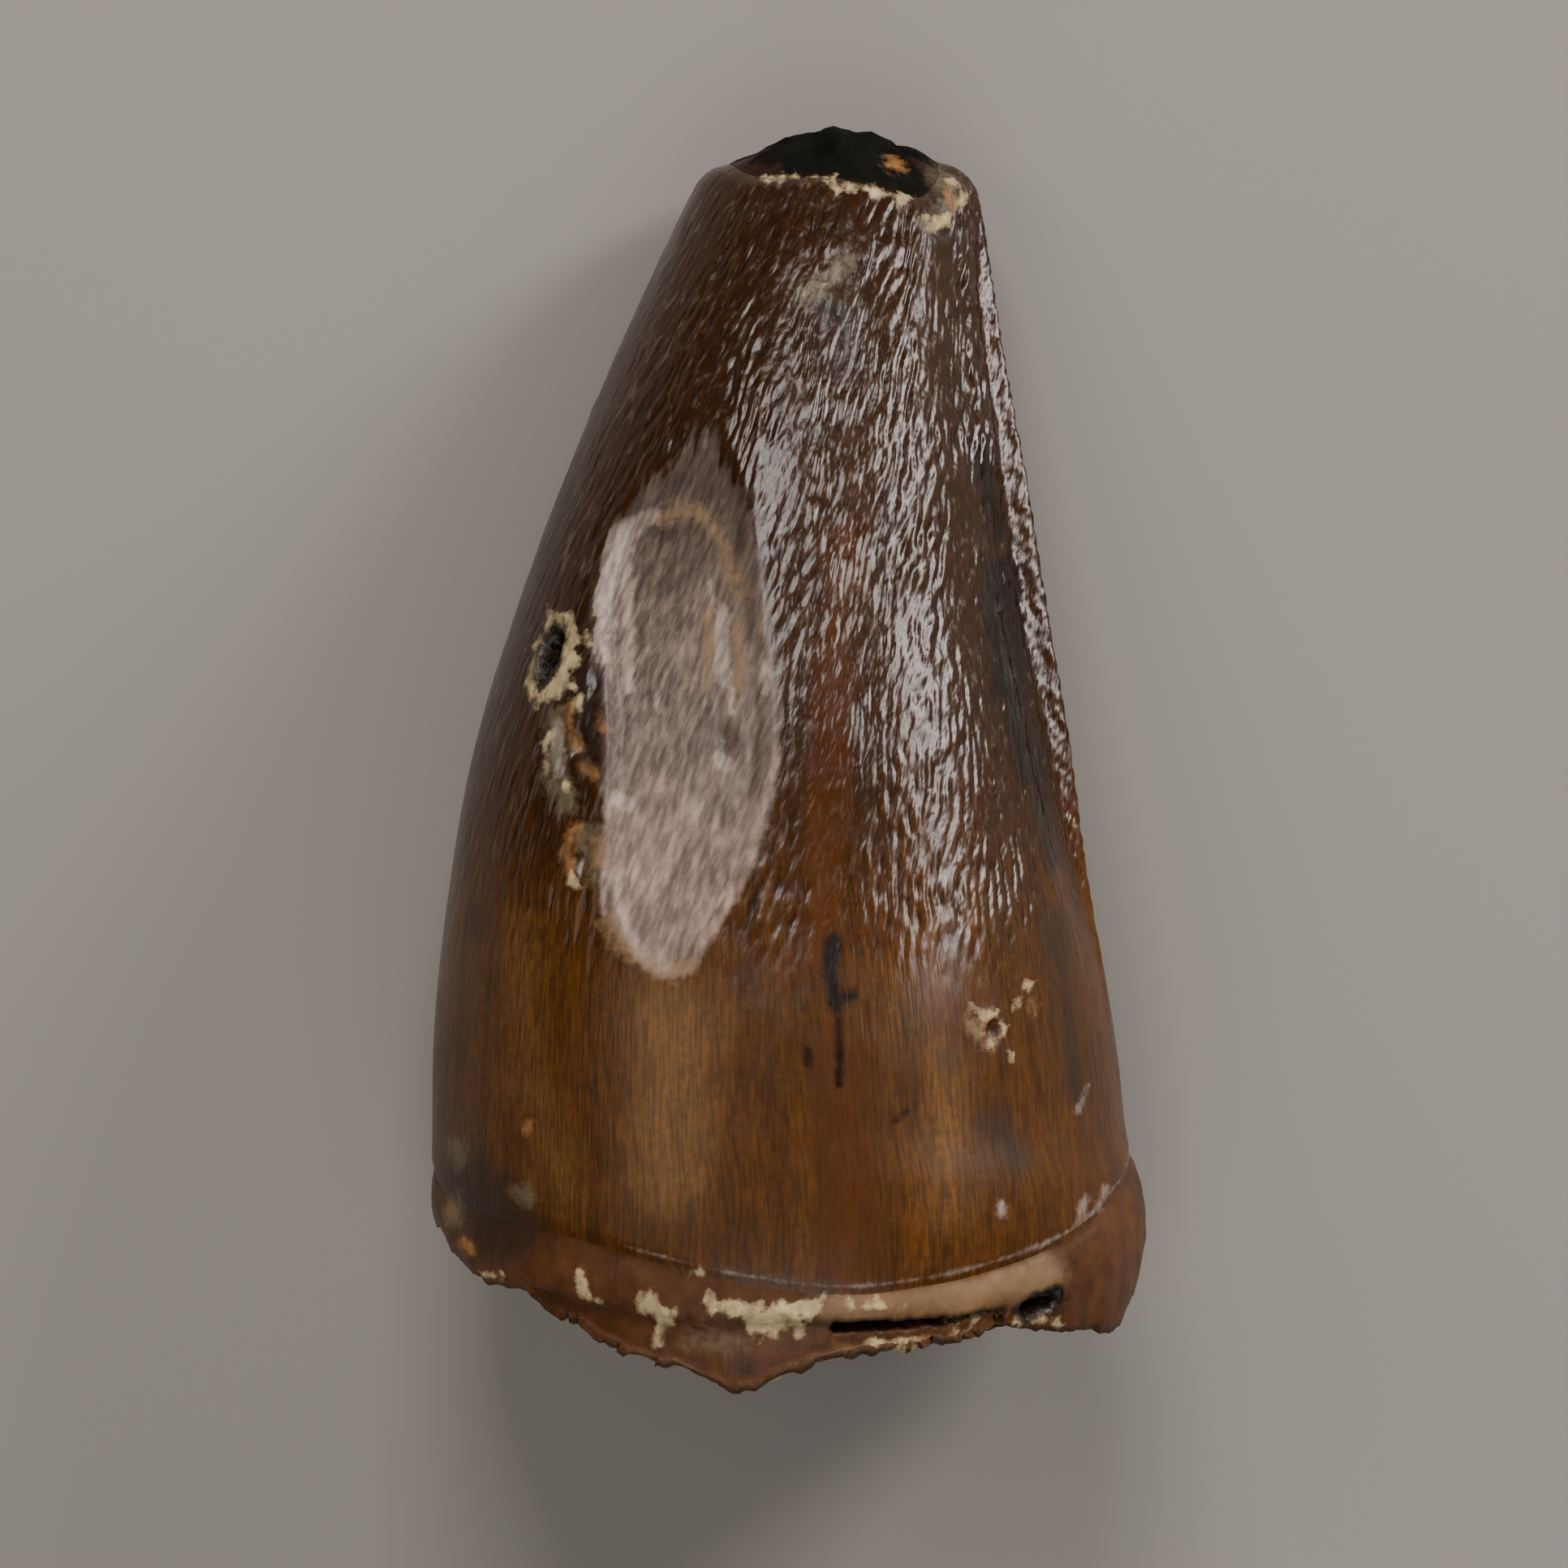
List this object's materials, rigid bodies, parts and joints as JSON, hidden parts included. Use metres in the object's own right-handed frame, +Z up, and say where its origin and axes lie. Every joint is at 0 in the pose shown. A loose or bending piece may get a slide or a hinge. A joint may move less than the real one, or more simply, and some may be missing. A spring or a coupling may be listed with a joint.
{
  "type": "fossil crocodile tooth",
  "caption": "Fossil crocodile tooth: a blunt brown crown with wrinkled enamel, a cutting ridge, a worn flat and pits, broken at the root so that its pulp cavity shows.",
  "frame": {"origin": "on the surface that the tooth lies on, under the middle of its bounding box", "axes": "+Y along the tooth from the broken root to the tip, +Z up through its rounder face, +X towards the cutting ridge"},
  "size_m": [0.018, 0.032, 0.0142],
  "materials": {
    "fossil_enamel": "glossy mineralised enamel, deep amber brown, with matte brown root and cream sediment in its breaks"
  },
  "bodies": {
    "root": {"crocodile_tooth": "fossil_enamel"}
  },
  "joints": []
}
